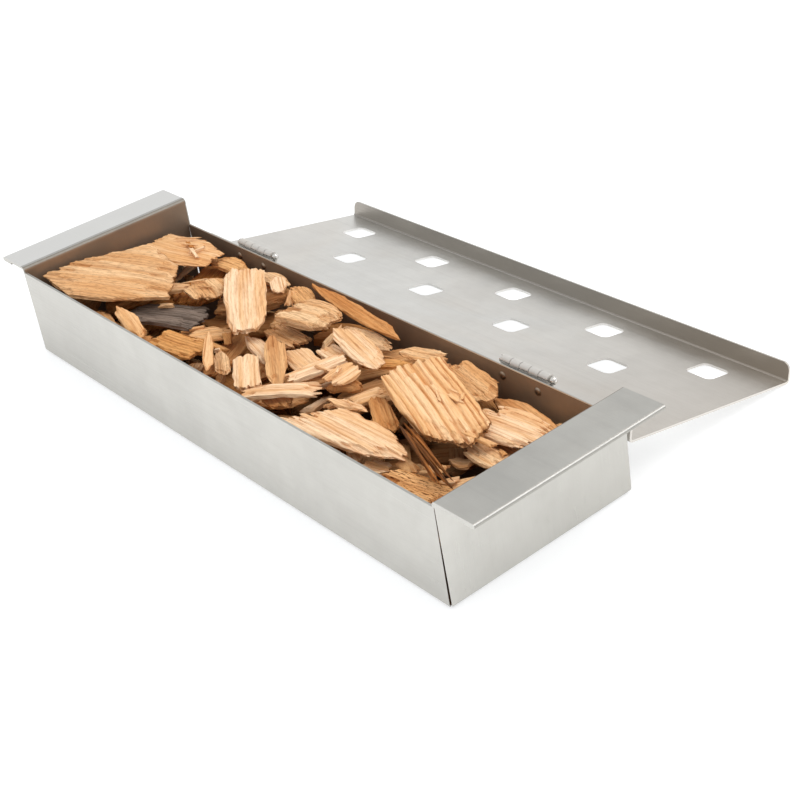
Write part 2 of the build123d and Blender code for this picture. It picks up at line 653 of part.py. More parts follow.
def prop(heap, chip, level, chance):
    """Small flat chips under a chip, until it would rest at its level."""
    _, most, *ranges = prop_shares
    made = []
    target = level - chip.face_over_middle()
    cells, _, bottom = chip.spot
    under = np.full(heap.height.shape, np.inf)
    under[cells] = bottom + target
    while chip.rise < target - level_slack and len(made) < most:
        best = None
        least = math.inf
        for _ in range(tries_per_chip):
            size = chance_size(ranges, chance)
            inset = [chance.uniform(-1, 1) * (long - short) / 2 for long, short in zip(chip.size, size)]
            offset = chip.turn @ np.array([inset[0], inset[1], 0.0])
            place = (chip.place[0] + offset[0], chip.place[1] + offset[1])
            laid = Resting(heap, size, chance.choice(outline_shares), place, (chance.uniform(-90, 90), 0, 0))
            if laid.spot is None or heap.gap(laid.spot, laid.rise) < 0:
                continue
            laid_cells, top, _ = laid.spot
            left = float(np.min(under[laid_cells] - top)) - laid.rise
            if 0 < left < least:
                best = laid
                least = left
        if best is None:
            break
        made.append(best.lay(heap))
        chip.rise = heap.rise(chip.spot)
    return made


def chips():
    """All wood chips, by node name: the fill, then the chips that show and what holds them up."""
    heap = Heap()
    chance = random.Random(seed)
    wanted = []
    for name, size_shares, shares, place_shares, level_share, angles in shown_chip_shares:
        size = (size_shares[0] * chip_length, size_shares[1] * chip_width, size_shares[2] * chip_thickness)
        place = (place_shares[0] * half_length, place_shares[1] * half_width)
        level = level_share * front_wall_height
        wanted.append((name, size, shares, place, angles, level))
        chip = Resting(heap, size, shares, place, angles)
        if chip.spot is not None:
            heap.reserve(chip.spot, level - chip.face_over_middle())
    made = {}
    for layer_shares in fill_shares:
        made[layer_shares[0]] = fill_chips(heap, layer_shares, chance)
    for name, size, shares, place, angles, level in wanted:
        chip = settle(heap, size, shares, place, angles, level, chance)
        made[prop_shares[0]] += prop(heap, chip, level, chance)
        made.setdefault(name, []).append(chip.lay(heap))
    return made


def main():
    os.makedirs("parts", exist_ok=True)
    write(tray(), "tray")
    write(opened(lid()), "lid")
    for side, place in hinge_places.items():
        write(Pos(place, 0, 0) * tray_leaf(), f"{side}_hinge_tray_leaf")
        write(opened(Pos(place, 0, 0) * lid_leaf()), f"{side}_hinge_lid_leaf")
        write(Pos(place, 0, 0) * hinge_pin(), f"{side}_hinge_pin")
    write(rivets(half_width - sheet, tray_rivet_z), "tray_rivets")
    write([opened(made) for made in rivets(lid_back - sheet, lid_rivet_z)], "lid_rivets")
    for name, solids in chips().items():
        write(solids, name)
    print("open angle", round(open_angle(), 3))


main()
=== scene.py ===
import json
import math
from functools import partialmethod

import bmesh
import bpy
import numpy as np
from mathutils import Matrix, Vector


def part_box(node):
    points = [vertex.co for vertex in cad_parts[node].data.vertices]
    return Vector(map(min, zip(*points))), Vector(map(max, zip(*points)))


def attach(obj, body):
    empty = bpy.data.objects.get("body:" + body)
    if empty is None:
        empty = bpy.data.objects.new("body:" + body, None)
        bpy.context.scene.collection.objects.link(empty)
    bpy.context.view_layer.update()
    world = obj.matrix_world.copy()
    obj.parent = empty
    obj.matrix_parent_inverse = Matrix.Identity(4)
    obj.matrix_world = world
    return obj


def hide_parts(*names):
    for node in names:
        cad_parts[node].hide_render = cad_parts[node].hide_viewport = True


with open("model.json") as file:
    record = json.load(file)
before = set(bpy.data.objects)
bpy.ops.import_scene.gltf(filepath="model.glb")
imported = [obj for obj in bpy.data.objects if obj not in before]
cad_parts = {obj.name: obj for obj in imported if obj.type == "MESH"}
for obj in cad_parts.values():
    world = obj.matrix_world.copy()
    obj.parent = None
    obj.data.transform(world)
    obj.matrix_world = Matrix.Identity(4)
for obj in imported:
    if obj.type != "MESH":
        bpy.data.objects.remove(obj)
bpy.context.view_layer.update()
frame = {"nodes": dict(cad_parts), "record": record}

# A stainless smoker box, dressed: brushed sheet, small hinges and split wood chips.
# All of it is in metres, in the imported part's frame.

nodes = frame["nodes"]
slots = {entry["node"]: entry["material_slot"] for entry in frame["record"]["subparts"]}
mm = 0.001


# Camera

camera_place = (0.4750, -0.2815, 0.3269)
camera_aim = (0.0110, 0.0406, 0.0)
camera_roll = math.radians(-9.365)
picture_width_px = 800
focal_length_px = 1526.4
optical_centre_px = (392.3, 380.1)
sensor_width_mm = 36
nearest_seen = 10 * mm


def place_object(name, data):
    """A new object of the scene."""
    made = bpy.data.objects.new(name, data)
    bpy.context.scene.collection.objects.link(made)
    return made


def looking(place, aim):
    """The turn of a camera or lamp that looks from one place to another."""
    return (Vector(aim) - Vector(place)).to_track_quat("-Z", "Y").to_matrix()


def add_camera():
    data = bpy.data.cameras.new("camera")
    data.sensor_width = sensor_width_mm
    data.lens = focal_length_px / picture_width_px * sensor_width_mm
    data.shift_x = (picture_width_px / 2 - optical_centre_px[0]) / picture_width_px
    data.shift_y = (optical_centre_px[1] - picture_width_px / 2) / picture_width_px
    data.clip_start = nearest_seen
    camera = place_object("camera", data)
    turn = looking(camera_place, camera_aim) @ Matrix.Rotation(camera_roll, 3, "Z")
    camera.matrix_world = Matrix.Translation(camera_place) @ turn.to_4x4()
    bpy.context.scene.camera = camera


# Node trees

class Tree:
    """A short way to write a material's or the world's nodes."""

    def __init__(self, owner):
        owner.use_nodes = True
        self.nodes = owner.node_tree.nodes
        self.links = owner.node_tree.links
        self.nodes.clear()

    def set(self, socket, value):
        if isinstance(value, bpy.types.NodeSocket):
            self.links.new(value, socket)
        else:
            socket.default_value = value

    def add(self, kind, values=None, **settings):
        node = self.nodes.new(kind)
        for name, value in settings.items():
            setattr(node, name, value)
        for key, value in (values or {}).items():
            self.set(node.inputs[key], value)
        return node

    def shader(self, kind, values):
        return self.add(kind, values).outputs[0]

    def math(self, operation, a, b=None):
        values = {0: a} if b is None else {0: a, 1: b}
        return self.add("ShaderNodeMath", values, operation=operation).outputs[0]

    times = partialmethod(math, "MULTIPLY")
    plus = partialmethod(math, "ADD")
    minus = partialmethod(math, "SUBTRACT")
    most = partialmethod(math, "MAXIMUM")
    size = partialmethod(math, "ABSOLUTE")
    over = partialmethod(math, "GREATER_THAN")
    under = partialmethod(math, "LESS_THAN")

    def split(self, vector):
        return self.add("ShaderNodeSeparateXYZ", {"Vector": vector}).outputs

    def mix(self, share, a, b):
        """Colour a, or b where share is 1. A colour is a socket or three linear values."""
        node = self.add("ShaderNodeMix", data_type="RGBA")
        self.set(node.inputs["Factor"], share)
        for key, colour in (("A", a), ("B", b)):
            self.set(node.inputs[key], (*colour, 1) if isinstance(colour, tuple) else colour)
        return node.outputs["Result"]

    def noise(self, vector, scale, detail, roughness, distortion=0.0):
        values = {"Vector": vector, "Scale": scale, "Detail": detail, "Roughness": roughness}
        return self.add("ShaderNodeTexNoise", {**values, "Distortion": distortion}).outputs["Fac"]

    def streaks(self, vector, scale, shift, *noise):
        """Noise with a scale for each axis."""
        mapping = self.add("ShaderNodeMapping", {"Vector": vector, "Scale": scale, "Location": shift})
        return self.noise(mapping.outputs["Vector"], 1.0, *noise)

    def remap(self, value, low, high, to_low=0.0, to_high=1.0):
        """Goes between two values while the input goes from low to high, and stays there beyond."""
        values = {"Value": value, "From Min": low, "From Max": high, "To Min": to_low, "To Max": to_high}
        return self.add("ShaderNodeMapRange", values).outputs["Result"]

    def bump(self, height, strength, distance, **normal):
        values = {"Height": height, "Strength": strength, "Distance": distance, **normal}
        return self.add("ShaderNodeBump", values).outputs["Normal"]


def linear(red, green, blue):
    """The linear values of a colour that is given as a picture's 0 to 255 values."""
    shares = [value / 255 for value in (red, green, blue)]
    return tuple(v / 12.92 if v <= 0.04045 else ((v + 0.055) / 1.055) ** 2.4 for v in shares)


def grey(value):
    return value, value, value, 1


# Studio

floor_height = -0.0002
floor_size = 12
floor_albedo = 0.80     # what the object sees of the floor
floor_lift = 0.40       # added light of the floor in mirrored rays
seen_albedo = 0.55      # what the camera sees of it, which keeps the object's shadow
seen_lift = 0.59
shadow_tint = (0.965, 0.985, 1.0, 1.0)
under_lid_glow = 0.84     # painted light: the floor glows brighter between the tray and the lid's far side, which lifts the lid's shadow
under_lid_from, under_lid_to = 40 * mm, 80 * mm
under_lid_reach, under_lid_end = 120 * mm, 146 * mm
floor_fade_from, floor_fade_to = 0.1, 0.9
sky_fill = 0.88
horizon_glow = 1.0      # the sky in mirrored rays, from low down to overhead
ceiling_glow = 0.52
glow_from, glow_to = 0.20, 0.62

# Each lamp's place, aim, size, power in watts and colour
lamps = {
    "key": ((0.45, 0.75, 1.10), (0, 0.02, 0), (1.2, 0.9), 6.8, (1.0, 0.985, 0.96)),
    "top": ((-0.10, -0.15, 1.50), (0, 0, 0), (2.4, 2.4), 7.5, (1, 1, 1)),
}


def floor_glow(tree):
    """How much the floor shines to the camera: more behind the tray, a painted light that lifts the lid's
    shadow, and white far away.
    """
    place = tree.add("ShaderNodeTexCoord").outputs["Object"]
    spot = tree.split(place)
    behind = tree.remap(spot["Y"], under_lid_from, under_lid_to)
    between = tree.remap(tree.size(spot["X"]), under_lid_end, under_lid_reach)
    strength = tree.remap(tree.times(behind, between), 0.0, 1.0, seen_lift, under_lid_glow)
    away = tree.add("ShaderNodeVectorMath", {0: place}, operation="LENGTH").outputs["Value"]
    return tree.most(strength, tree.remap(away, floor_fade_from, floor_fade_to))


def add_floor():
    half = floor_size / 2
    mesh = bpy.data.meshes.new("studio_floor")
    corners = [(x * half, y * half, floor_height) for x, y in ((-1, -1), (1, -1), (1, 1), (-1, 1))]
    mesh.from_pydata(corners, [], [(0, 1, 2, 3)])
    floor = place_object("studio_floor", mesh)
    material = bpy.data.materials.new("studio_floor")
    tree = Tree(material)
    paper = tree.shader("ShaderNodeBsdfDiffuse", {"Color": grey(floor_albedo)})
    lift = tree.shader("ShaderNodeEmission", {"Color": grey(1), "Strength": floor_lift})
    lifted = tree.shader("ShaderNodeAddShader", {0: paper, 1: lift})
    near = tree.shader("ShaderNodeBsdfDiffuse", {"Color": grey(seen_albedo)})
    glow = tree.shader("ShaderNodeEmission", {"Color": shadow_tint, "Strength": floor_glow(tree)})
    seen = tree.shader("ShaderNodeAddShader", {0: near, 1: glow})
    path = tree.add("ShaderNodeLightPath").outputs
    mirrored = tree.shader("ShaderNodeMixShader", {0: path["Is Glossy Ray"], 1: paper, 2: lifted})
    open_rays = tree.most(path["Is Camera Ray"], path["Is Transmission Ray"])
    mix = tree.shader("ShaderNodeMixShader", {0: open_rays, 1: mirrored, 2: seen})
    tree.add("ShaderNodeOutputMaterial", {"Surface": mix})
    mesh.materials.append(material)


def add_world():
    """White to the camera, darker overhead in mirrored rays, and an even fill for the rest."""
    world = bpy.data.worlds.new("studio")
    bpy.context.scene.world = world
    tree = Tree(world)
    path = tree.add("ShaderNodeLightPath").outputs
    height = tree.split(tree.add("ShaderNodeTexCoord").outputs["Generated"])["Z"]
    glow = tree.remap(height, glow_from, glow_to, horizon_glow, ceiling_glow)
    glow = tree.times(glow, path["Is Glossy Ray"])
    open_rays = tree.most(path["Is Camera Ray"], path["Is Transmission Ray"])
    fill = tree.minus(1.0, tree.most(open_rays, path["Is Glossy Ray"]))
    strength = tree.most(tree.most(glow, open_rays), tree.times(fill, sky_fill))
    back = tree.shader("ShaderNodeBackground", {"Color": grey(1), "Strength": strength})
    tree.add("ShaderNodeOutputWorld", {"Surface": back})


def add_lights():
    """A soft rectangle of light for each lamp."""
    for name, (place, aim, size, power, colour) in lamps.items():
        data = bpy.data.lights.new(name, "AREA")
        data.shape = "RECTANGLE"
        data.size, data.size_y = size
        data.energy = power
        data.color = colour
        lamp = place_object(name, data)
        lamp.matrix_world = Matrix.Translation(place) @ looking(place, aim).to_4x4()


# Brushed sheet

# For the fine and the coarse lines: scale across them, scale along them, and shift
brush_lines = ((2600.0, 9.0, (0, 0, 0)), (420.0, 14.0, (3.1, 1.7, 0.4)))
brush_depth = 0.06 * mm
dent_depth = 1.2 * mm
ends_from, ends_to = 0.60, 0.80     # of the normal along X or Y, where a face counts as an end or a front
flat_from, flat_to = 0.70, 0.95     # of the normal along Z, where it counts as a top
grime = (0.42, 0.40, 0.37)
haze = (0.46, 0.45, 0.43)
heat_tint = (0.62, 0.50, 0.38)


def brushed(tree, place, axis):
    """Fine and coarse lines that run along one axis: X, Y or Z."""
    lines = []
    for across, along, shift in brush_lines:
        scale = [across] * 3
        scale["XYZ".index(axis)] = along
        lines.append(tree.streaks(place, scale, shift, 4.0, 0.62))
    return lines


def blend(tree, share, a, b):
    """A number that goes from a to b as share goes from 0 to 1."""
    return tree.plus(a, tree.times(share, tree.minus(b, a)))


def steel(name, tint, brush_axis, roughness=0.34, brush=0.5, stain=0.5, warm=0.0, metal=1.0, dress=None):
    """Brushed stainless steel. The brush lines run along brush_axis, and up the faces that look along X.
    A dress function can change the colour, metal share and roughness in some places."""
    material = bpy.data.materials.new(name)
    tree = Tree(material)
    coords = tree.add("ShaderNodeTexCoord")
    place = coords.outputs["Object"]
    facing = tree.split(coords.outputs["Normal"])
    endways = tree.remap(tree.size(facing["X"]), ends_from, ends_to)
    level, upright = brushed(tree, place, brush_axis), brushed(tree, place, "Z")
    fine, coarse = (blend(tree, endways, a, b) for a, b in zip(level, upright))
    cloud = tree.noise(place, 26.0, 4.0, 0.6, 0.4)
    mottle = tree.noise(place, 95.0, 3.0, 0.6)
    darker, lighter = tuple(v * 0.93 for v in tint), tuple(min(v * 1.05, 1) for v in tint)
    base = tree.mix(tree.remap(cloud, 0.35, 0.70), darker, lighter)
    base = tree.mix(tree.times(tree.remap(mottle, 0.42, 0.70), 0.22 * stain), base, grime)
    base = tree.mix(tree.times(tree.remap(coarse, 0.50, 0.72), 0.25 * stain), base, haze)
    if warm:
        heat = tree.remap(tree.noise(place, 11.0, 3.0, 0.55, 0.8), 0.48, 0.72)
        base = tree.mix(tree.times(heat, warm), base, heat_tint)
    gloss = tree.remap(fine, 0.25, 0.75, roughness - 0.09, roughness + 0.11)
    gloss = tree.plus(gloss, tree.remap(cloud, 0.3, 0.7, -0.04, 0.05))
    if dress:
        base, metal, gloss = dress(tree, place, facing, cloud, base, gloss)
    lines = tree.plus(tree.times(fine, 0.6), tree.times(coarse, 0.4))
    normal = tree.bump(cloud, 0.10, dent_depth, Normal=tree.bump(lines, brush, brush_depth))
    values = {"Base Color": base, "Metallic": metal, "Roughness": gloss, "Normal": normal}
    tree.add("ShaderNodeOutputMaterial", {"Surface": tree.shader("ShaderNodeBsdfPrincipled", values)})
    return material


# The tray's stains

inside_reach_x = 145.5 * mm     # at the tray's floor, to the middle of the end walls
inside_lean = 0.02247           # of the end walls
inside_reach_y = 44 * mm
inside_top = 41.6 * mm
end_wall_top = 43.7 * mm
underside = 0.3 * mm
floor_top = 1.6 * mm
wall_height = 44 * mm
foot_height = 18 * mm
fold_from = 42 * mm
handle_from = 147 * mm
hem_from = 160 * mm
far_shade_reach = 140 * mm
far_front_from, far_front_to = -50 * mm, -146 * mm
film_pale = linear(188, 152, 116)
film_deep = linear(150, 117, 86)
# painted shade on the smoke film: darker towards the tray's left end, and dark on the tray's floor under the
# chips
far_film_shade = linear(84, 62, 46)
tray_floor_shade = linear(78, 50, 26)
# painted shade: the front darker towards its foot
foot_shade = linear(120, 118, 114)
# painted shade on the bends from the end walls to the handles and on the handles' outer bends
fold_shade = linear(150, 143, 134)
# painted light: the end faces lighter towards their bottom
lower_light = linear(236, 235, 231)
far_grey = linear(160, 158, 152)
# painted shade: the handles' hem faces darker
hem_shade = linear(158, 156, 150)
# painted highlight along the handles' outer bends
glint_white = linear(240, 240, 238)
# painted light on the left handle's top
handle_top_light = linear(243, 243, 241)


def inside_tray(tree, x, y, z, facing):
    """1 on the tray's inner faces, 0 elsewhere."""
    reach = tree.plus(tree.size(x), tree.times(z, inside_lean))
    inside = tree.times(tree.under(reach, inside_reach_x), tree.under(tree.size(y), inside_reach_y))
    top = tree.remap(tree.over(tree.size(facing["X"]), 0.9), 0.0, 1.0, inside_top, end_wall_top)
    return tree.times(tree.times(inside, tree.under(z, top)), tree.over(z, underside))


def folds(tree, x, z, facing):
    """The bends from the end walls to the handles, the handles' outer bends, and a painted glint along those.
    """
    inward = tree.times(facing["X"], tree.math("SIGN", x))
    inner = tree.times(tree.remap(inward, -0.15, -0.35), tree.over(z, fold_from))
    slant = tree.times(tree.size(facing["X"]), facing["Z"])
    beyond = tree.over(tree.size(x), hem_from)
    outer = tree.times(tree.remap(slant, 0.12, 0.3), beyond)
    return inner, outer, tree.times(tree.remap(slant, 0.40, 0.47), beyond)


def tray_stain(tree, place, facing, cloud, base, gloss):
    """Brown smoke film inside the tray, with painted shade on its floor and towards its left end. Outside:
    painted shade in a faint dark band along the foot, on the folds and hems, and as less light on what
    lies further back; painted light in a bright line on the handles' outer bends, on the end faces' lower
    part and on the left handle's top."""
    x, y, z = tree.split(place)
    inside = inside_tray(tree, x, y, z, facing)
    outside = tree.minus(1.0, inside)
    floor = tree.under(z, floor_top)
    film = tree.mix(tree.remap(cloud, 0.35, 0.70), film_pale, film_deep)
    # painted shade: the film darker towards the left end and on the tray's floor
    film = tree.mix(tree.remap(x, far_shade_reach, -far_shade_reach, 0.0, 0.6), film, far_film_shade)
    film = tree.mix(floor, film, tray_floor_shade)
    front = tree.times(outside, tree.remap(tree.size(facing["Y"]), ends_from, ends_to))
    endface = tree.times(tree.remap(tree.size(facing["X"]), ends_from, ends_to), outside)
    inner_fold, outer_fold, glint = folds(tree, x, z, facing)
    fold = tree.most(tree.times(inner_fold, outside), tree.times(outer_fold, 0.5))
    far_end = tree.times(endface, tree.remap(y, -inside_reach_y, inside_reach_y, 0.0, 0.34))
    far_front = tree.times(front, tree.remap(x, far_front_from, far_front_to, 0.0, 0.30))
    # painted light: the left handle's top faces lighter
    left_top_light = tree.times(tree.remap(facing["Z"], flat_from, flat_to), tree.under(x, -handle_from))
    # Each share paints one colour over the steel: the film inside is a stain with painted shade, the rest is
    # painted shade and painted light
    for share, colour in (
        (tree.times(tree.remap(z, foot_height, 0.0, 0.0, 0.06), front), foot_shade),
        (tree.times(inside, tree.remap(floor, 0.0, 1.0, 0.88, 1.0)), film),
        (tree.times(fold, 0.85), fold_shade),
        (tree.times(endface, tree.remap(z, wall_height, 0.0, 0.0, 0.15)), lower_light),
        (tree.most(far_end, far_front), far_grey),
        (tree.times(tree.times(endface, tree.over(tree.size(x), hem_from)), 0.9), hem_shade),
        (tree.times(glint, 0.6), glint_white),
        (tree.times(left_top_light, 0.9), handle_top_light),
    ):
        base = tree.mix(share, base, colour)
    metal = tree.minus(1.0, tree.times(inside, 0.62))
    matte = tree.plus(tree.remap(facing["Z"], flat_from, flat_to, 0.0, 0.10), tree.times(fold, 0.25))
    gloss = tree.plus(gloss, tree.plus(tree.times(inside, 0.12), matte))
    return base, metal, gloss


# The lid's stains, in the open pose in which the part is loaded

flange_from = 132 * mm
warm_from, warm_to = 20 * mm, 150 * mm
# painted shade: the far flange's inner face darker than the plate
flange_shade = linear(160, 155, 148)
# painted light: the vents' cut edges white and less metallic
cut_light = linear(248, 248, 246)
warm_grey = linear(176, 158, 138)


def lid_stain(tree, place, facing, cloud, base, gloss):
    """Painted shade makes the far flange's inner face darker than the plate, painted light makes the cut
    edges of the vents bright, and the plate is a little warmer towards the right."""
    spot = tree.split(place)
    inner = tree.remap(tree.times(facing["Y"], -1.0), 0.25, 0.45)
    inner = tree.times(inner, tree.over(spot["Y"], flange_from))
    cut = tree.times(tree.under(tree.size(facing["Z"]), 0.5), tree.under(spot["Y"], flange_from))
    base = tree.mix(inner, base, flange_shade)
    base = tree.mix(tree.times(cut, 0.8), base, cut_light)
    base = tree.mix(tree.remap(spot["X"], warm_from, warm_to, 0.0, 0.36), base, warm_grey)
    return base, tree.remap(cut, 0.0, 1.0, 1.0, 0.3), gloss


def paint(node, material):
    """Gives one CAD node its material."""
    mesh = nodes[node].data
    mesh.materials.clear()
    mesh.materials.append(material)


def dress_metal():
    wall, plate = linear(200, 199, 194), linear(228, 227, 223)
    paint("tray", steel("tray_steel", wall, "X", stain=0.7, dress=tray_stain))
    paint("lid", steel("lid_steel", plate, "X", roughness=0.37, warm=0.22, dress=lid_stain))
    leaf = steel("leaf_steel", linear(214, 211, 206), "X", roughness=0.5, stain=0.4, warm=0.2, metal=0.55)
    pin = steel("pin_steel", linear(226, 223, 218), "X", roughness=0.20, brush=0.15, stain=0.1)
    stud = steel("rivet_steel", linear(168, 150, 130), "Y", roughness=0.42, brush=0.25, stain=0.6)
    for side in ("left", "right"):
        paint(f"{side}_hinge_tray_leaf", leaf)
        paint(f"{side}_hinge_lid_leaf", leaf)
        paint(f"{side}_hinge_pin", pin)
    paint("tray_rivets", stud)
    paint("lid_rivets", stud)


# The lid's sheet as the photo shows it, whole where the solid has a third row of vents by the hinges

weld = 0.001 * mm
hinge_row_from, hinge_row_to = 10 * mm, 34 * mm
plate_from = 11 * mm
vents_reach_x = 132 * mm
half_sheet = 0.5 * mm
flat_limit = 0.002 * mm
upright_limit = 0.3     # of a face's normal along the plate's


def in_hinge_row(face, axis, across, normal):
    """Whether a face of the lid is a side of a vent in the row next to the hinges."""
    centre = face.calc_center_median()
    off = centre - axis
    upright = abs(face.normal.dot(normal)) < upright_limit and abs(off.dot(normal)) > plate_from
    return upright and hinge_row_from < off.dot(across) < hinge_row_to and abs(centre.x) < vents_reach_x


def flatten_plate(mesh, axis, normal):
    """Gives each corner on the plate's two sides the plate's own normal, also in its thinnest triangles."""
    places = [(vertex.co - axis).dot(normal) for vertex in mesh.vertices]
    outer = max(places, key=abs)
    middle = outer - math.copysign(half_sheet, outer)
    corners = [corner.vector.copy() for corner in mesh.corner_normals]
    for face in mesh.polygons:
        own = [places[index] for index in face.vertices]
        if max(own) - min(own) < flat_limit and abs(own[0]) > plate_from:
            for corner in face.loop_indices:
                corners[corner] = normal * math.copysign(1.0, own[0] - middle)
    mesh.shade_smooth()
    mesh.normals_split_custom_set(corners)


def dress_lid():
    source = nodes["lid"]
    low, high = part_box("left_hinge_pin")
    axis = (low + high) / 2
    axis.x = 0.0
    form = bmesh.new()
    form.from_mesh(source.data)
    bmesh.ops.remove_doubles(form, verts=form.verts, dist=weld)
    normal = max(form.faces, key=lambda face: face.calc_area()).normal.copy()
    across = Vector((1, 0, 0)).cross(normal)
    across *= math.copysign(1.0, across.y)
    sides = [face for face in form.faces if in_hinge_row(face, axis, across, normal)]
    bmesh.ops.delete(form, geom=sides, context="FACES")
    rims = [edge for edge in form.edges if edge.is_boundary]
    bmesh.ops.holes_fill(form, edges=rims, sides=0)
    bmesh.ops.recalc_face_normals(form, faces=form.faces)
    mesh = bpy.data.meshes.new("plain_lid")
    form.to_mesh(mesh)
    form.free()
    if "custom_normal" in mesh.attributes:
        mesh.attributes.remove(mesh.attributes["custom_normal"])
    flatten_plate(mesh, axis, normal)
    mesh.materials.append(source.data.materials[0])
    piece = place_object("vented_lid", mesh)
    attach(piece, "lid")
    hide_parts("lid")


# Noise for the chips' meshes

def hashed(cells, seed):
    """A number from 0 to 1 for each whole-number cell."""
    x, y, z = np.moveaxis(cells, -1, 0)
    mixed = x * 374761393 + y * 668265263 + z * 1442695041 + seed * 974634777
    mixed = (mixed ^ (mixed >> 13)) * 1274126177
    mixed = (mixed ^ (mixed >> 16)) & 0xFFFFFF
    return mixed / 0xFFFFFF


def value_noise(points, seed):
    """Smooth noise from -1 to 1 at points given in cells."""
    floor = np.floor(points).astype(np.int64)
    part = points - floor
    part = part * part * (3 - 2 * part)
    total = np.zeros(points.shape[:-1])
    for corner in np.ndindex(2, 2, 2):
        weight = np.where(corner, part, 1 - part).prod(-1)
        total += weight * hashed(floor + corner, seed)
    return total * 2 - 1


def wood_noise(u, v, w, scale, seed, octaves=1):
    """Noise in a chip's own axes, with one cell size for each of them, in metres."""
    total = np.zeros(np.broadcast(u, v, w).shape)
    gain = 1.0
    for octave in range(octaves):
        points = np.stack(np.broadcast_arrays(u / scale[0], v / scale[1], w / scale[2]), -1) * 2**octave
        total += gain * value_noise(points, seed + 17 * octave)
        gain *= 0.5
    return total


# How each chip looks

given_in_mm = ("cell", "pitch", "groove", "bundle", "jag", "bite", "crumble", "reach")


def look_of(**values):
    """The values of a look. Its lengths are given in millimetres."""
    return {key: value * mm if key in given_in_mm else value for key, value in values.items()}


plain_look = look_of(
    cell=0.8,           # size of a mesh face
    pitch=1.7,          # from one groove to the next
    groove=0.40,        # depth of the grooves
    groove_share=0.45,  # width of a groove against the pitch
    bundle=1.3,         # width of the fibres that break together
    jag=2.4,            # how unevenly they break
    bite=2.2,           # broad bays in the broken ends
    side=0.16,          # how far the long edges wander, as a share of the width
    layer=0.35,         # depth of the layers torn off near the ends, as a share
    crumble=0.35,       # roughness of the broken ends
    thin=0.78,          # thickness against the blank's
    feather=0.35,       # how much thinner the ends are
    cup=0.9,            # how much of the spare thickness the bow and twist use
    grow=1.05,          # width against the blank's, before the edges wander
    reach=1.2,          # length added at each end, before it is torn
    slivers=0,          # splinters that lie beside it
    even=0.0,           # how alike the grooves are
    strands=1,          # bundles that it is split into along its length
    worn=0.0,           # how crumbled and dark its end towards +X is
    dashes=0.3,         # short dark pores
    flakes=(),          # the fibres torn up from it
    tone=(0.0, 1.0),
)

# Fibres torn up from the ridged chip: place, length and width in mm, turn and lift in degrees
ridged_flakes = (
    ((4.0, 5.0), 12.0, 3.4, 12, 5), ((7.0, 7.5), 9.0, 2.6, -14, 8), ((2.0, 8.0), 10.0, 1.8, 20, 4),
    ((-1.0, 2.5), 13.0, 1.6, -7, 3), ((9.0, 4.5), 7.0, 2.2, 30, 7),
)

looks = {
    "ridged_chip": look_of(
        cell=0.5, pitch=3.1, groove=1.15, groove_share=0.4, jag=1.6, bite=0.5, side=0.03, layer=0.25,
        thin=0.9, cup=0.3, feather=0.2, tone=(0.2, 0.2), even=0.5, worn=1.0, flakes=ridged_flakes,
    ),
    "left_flat_chip": look_of(
        cell=0.55, pitch=1.5, groove=0.5, jag=4.0, bite=1.5, side=0.08, layer=0.4, tone=(0.1, 0.1),
    ),
    "short_grain_chip": look_of(
        cell=0.55, groove=0.3, jag=1.5, bite=1.0, side=0.06, tone=(0.7, 0.7), dashes=1.0,
    ),
    "dark_splinter": look_of(
        cell=0.45, pitch=1.3, groove=1.2, groove_share=0.7, jag=7.0, bundle=0.9, side=0.25, strands=3,
        reach=3.0, tone=(0.0, 0.3),
    ),
    "jagged_chip": look_of(cell=0.55, pitch=1.4, groove=0.5, jag=4.5, bite=2.0, tone=(0.0, 0.0)),
    "long_front_stick": look_of(pitch=2.2, jag=4.0, tone=(0.1, 0.1)),
    "bright_block_chip": look_of(tone=(0.0, 0.0), side=0.08),
    "rounded_chip": look_of(tone=(0.3, 0.3), side=0.1),
    "long_slab_chip": look_of(
        pitch=3.4, groove=0.25, side=0.03, tone=(0.35, 0.35), jag=1.5, bite=0.8, plan_grain=math.radians(25),
    ),
    "orange_flat_chip": look_of(tone=(0.5, 0.5), groove=0.2),
    "back_flat_chip": look_of(tone=(0.5, 0.5)),
    "bark_piece": look_of(groove=1.0, pitch=1.5),
    "small_splinters": look_of(cell=0.6, jag=3.0, side=0.25, thin=0.7, slivers=2),
    "upper_chips": look_of(
        cell=0.7, jag=2.4, slivers=2, plan_grain=math.radians(14), slab_area=900 * mm * mm,
    ),
    "middle_chips": look_of(cell=0.7, jag=2.4, slivers=2),
    "lower_chips": look_of(slivers=1),
}
sliver_look = {**plain_look, **look_of(
    cell=0.6, pitch=1.0, groove=0.2, jag=3.0, bite=0.5, side=0.5, thin=0.7, layer=0.2, reach=0.0,
)}
stick_look = {**plain_look, **look_of(
    cell=0.7, pitch=1.2, groove=0.3, jag=2.5, bite=0.8, side=0.3, thin=0.9, layer=0.25, reach=0.0, bundle=0.9,
)}


# Chips read from their CAD solids

